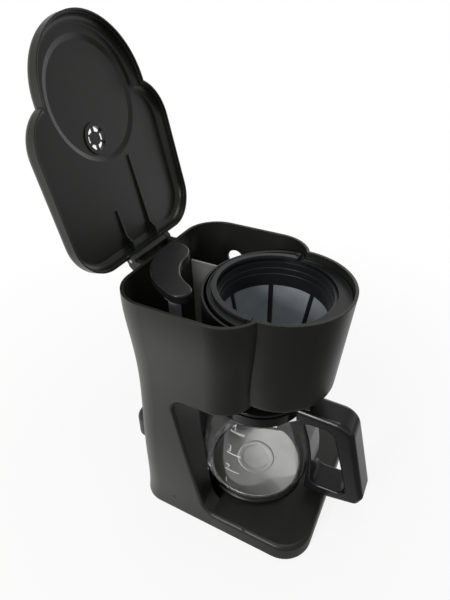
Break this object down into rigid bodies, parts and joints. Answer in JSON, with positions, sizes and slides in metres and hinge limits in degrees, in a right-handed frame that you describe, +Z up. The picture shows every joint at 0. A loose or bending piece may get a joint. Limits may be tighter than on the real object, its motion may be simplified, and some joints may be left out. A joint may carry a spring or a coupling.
{
  "type": "drip coffee maker",
  "caption": "Compact drip coffee maker with an open hinged lid, rear water tank, swing spout, lift-out filter basket with bail, drip stop, warming plate and a glass carafe with loop handle.",
  "frame": {"origin": "on the table under the middle of the whole object, lid open and carafe handle included", "axes": "+X to the user's right, +Y to the rear, +Z up"},
  "size_m": [0.1558, 0.2796, 0.4253],
  "materials": {
    "housing_plastic": "satin moulded polypropylene",
    "lid_plastic": "satin moulded polypropylene",
    "well_plastic": "satin moulded polypropylene",
    "cover_plastic": "fine spark texture",
    "foot_rubber": "matt",
    "plated_steel": "zinc plated",
    "grey_plastic": "satin moulded polypropylene",
    "riser_plastic": "smooth extruded tube",
    "silicone_grey": "soft silicone",
    "spout_plastic": "satin moulded polypropylene",
    "plate_metal": "satin lacquered",
    "seal_rubber": "satin silicone",
    "heater_aluminium": "as cast",
    "thermostat_steel": "drawn cup",
    "fuse_sleeve": "woven glass sleeve",
    "silicone_white": "translucent silicone",
    "valve_plastic": "acetal",
    "switch_plastic": "nylon",
    "rocker_plastic": "gloss",
    "lamp_lens": "clear red lens",
    "terminal_plastic": "white ceramic-filled nylon",
    "wire_pvc": "PVC insulation",
    "gland_rubber": "satin moulded rubber",
    "basket_plastic": "satin moulded polypropylene",
    "filter_plastic": "satin moulded polypropylene",
    "filter_mesh": "woven nylon mesh",
    "bail_plastic": "satin moulded polypropylene",
    "spring_steel": "drawn stainless wire",
    "carafe_glass": "clear borosilicate",
    "band_plastic": "gloss",
    "handle_plastic": "gloss",
    "carafe_lid_plastic": "gloss"
  },
  "bodies": {
    "housing": {"housing_shell": "housing_plastic", "base_cover": "cover_plastic", "rubber_feet": "foot_rubber", "cover_screws": "plated_steel", "brew_well": "well_plastic", "overflow_weir": "grey_plastic", "riser_tube": "riser_plastic", "riser_grommet": "silicone_grey", "spout_collar": "riser_plastic", "lid_hinge_pin": "plated_steel", "warming_plate": "plate_metal", "plate_seal": "seal_rubber", "heater_casting": "heater_aluminium", "heater_bracket": "plated_steel", "heater_stud": "plated_steel", "thermostat": "thermostat_steel", "thermal_fuse": "fuse_sleeve", "inlet_hose": "silicone_white", "outlet_hose": "silicone_white", "hose_clamps": "plated_steel", "one_way_valve": "valve_plastic", "switch_case": "switch_plastic", "power_lamp": "lamp_lens", "terminal_block": "terminal_plastic", "wiring": "wire_pvc", "cord_gland": "gland_rubber"},
    "lid": {"lid_shell": "lid_plastic", "steam_vent": "lid_plastic"},
    "spout": {"spout_arm": "spout_plastic"},
    "basket": {"brew_basket": "basket_plastic", "filter_frame": "filter_plastic", "filter_mesh": "filter_mesh"},
    "bail": {"bail_handle": "bail_plastic"},
    "drip_stop": {"valve_stem": "valve_plastic", "valve_seal": "silicone_grey", "valve_spring": "spring_steel"},
    "carafe": {"carafe_glass": "carafe_glass", "carafe_band": "band_plastic", "carafe_handle": "handle_plastic", "handle_screw": "plated_steel", "carafe_lid": "carafe_lid_plastic", "carafe_lid_pin": "plated_steel"},
    "rocker": {"switch_rocker": "rocker_plastic"}
  },
  "joints": [
    {"name": "lid_hinge", "type": "hinge", "parent": "housing", "child": "lid", "pos_m": [0, 0.08437, 0.2481], "axis": [-1, 0, 0], "range_deg": [-103.7, 0]},
    {"name": "spout_swivel", "type": "hinge", "parent": "housing", "child": "spout", "pos_m": [-0.041, 0.03417, 0.247], "axis": [0, 0, 1], "range_deg": [-90, 0]},
    {"name": "basket_lift", "type": "slide", "parent": "housing", "child": "basket", "axis": [0, 0, 1], "range_m": [0, 0.09]},
    {"name": "bail_hinge", "type": "hinge", "parent": "basket", "child": "bail", "pos_m": [0, -0.03533, 0.2431], "axis": [1, 0, 0], "range_deg": [0, 90]},
    {"name": "drip_stop_lift", "type": "slide", "parent": "basket", "child": "drip_stop", "axis": [0, 0, 1], "range_m": [0, 0.003], "stiffness_N_per_m": 120, "springref_m": -0.006, "deforming": ["valve_spring"]},
    {"name": "carafe_slide", "type": "slide", "parent": "housing", "child": "carafe", "axis": [0, -1, 0], "range_m": [0, 0.14]},
    {"name": "power_rocker", "type": "hinge", "parent": "housing", "child": "rocker", "pos_m": [0.0718, 0.04067, 0.042], "axis": [0, -1, 0], "range_deg": [0, 16]}
  ]
}
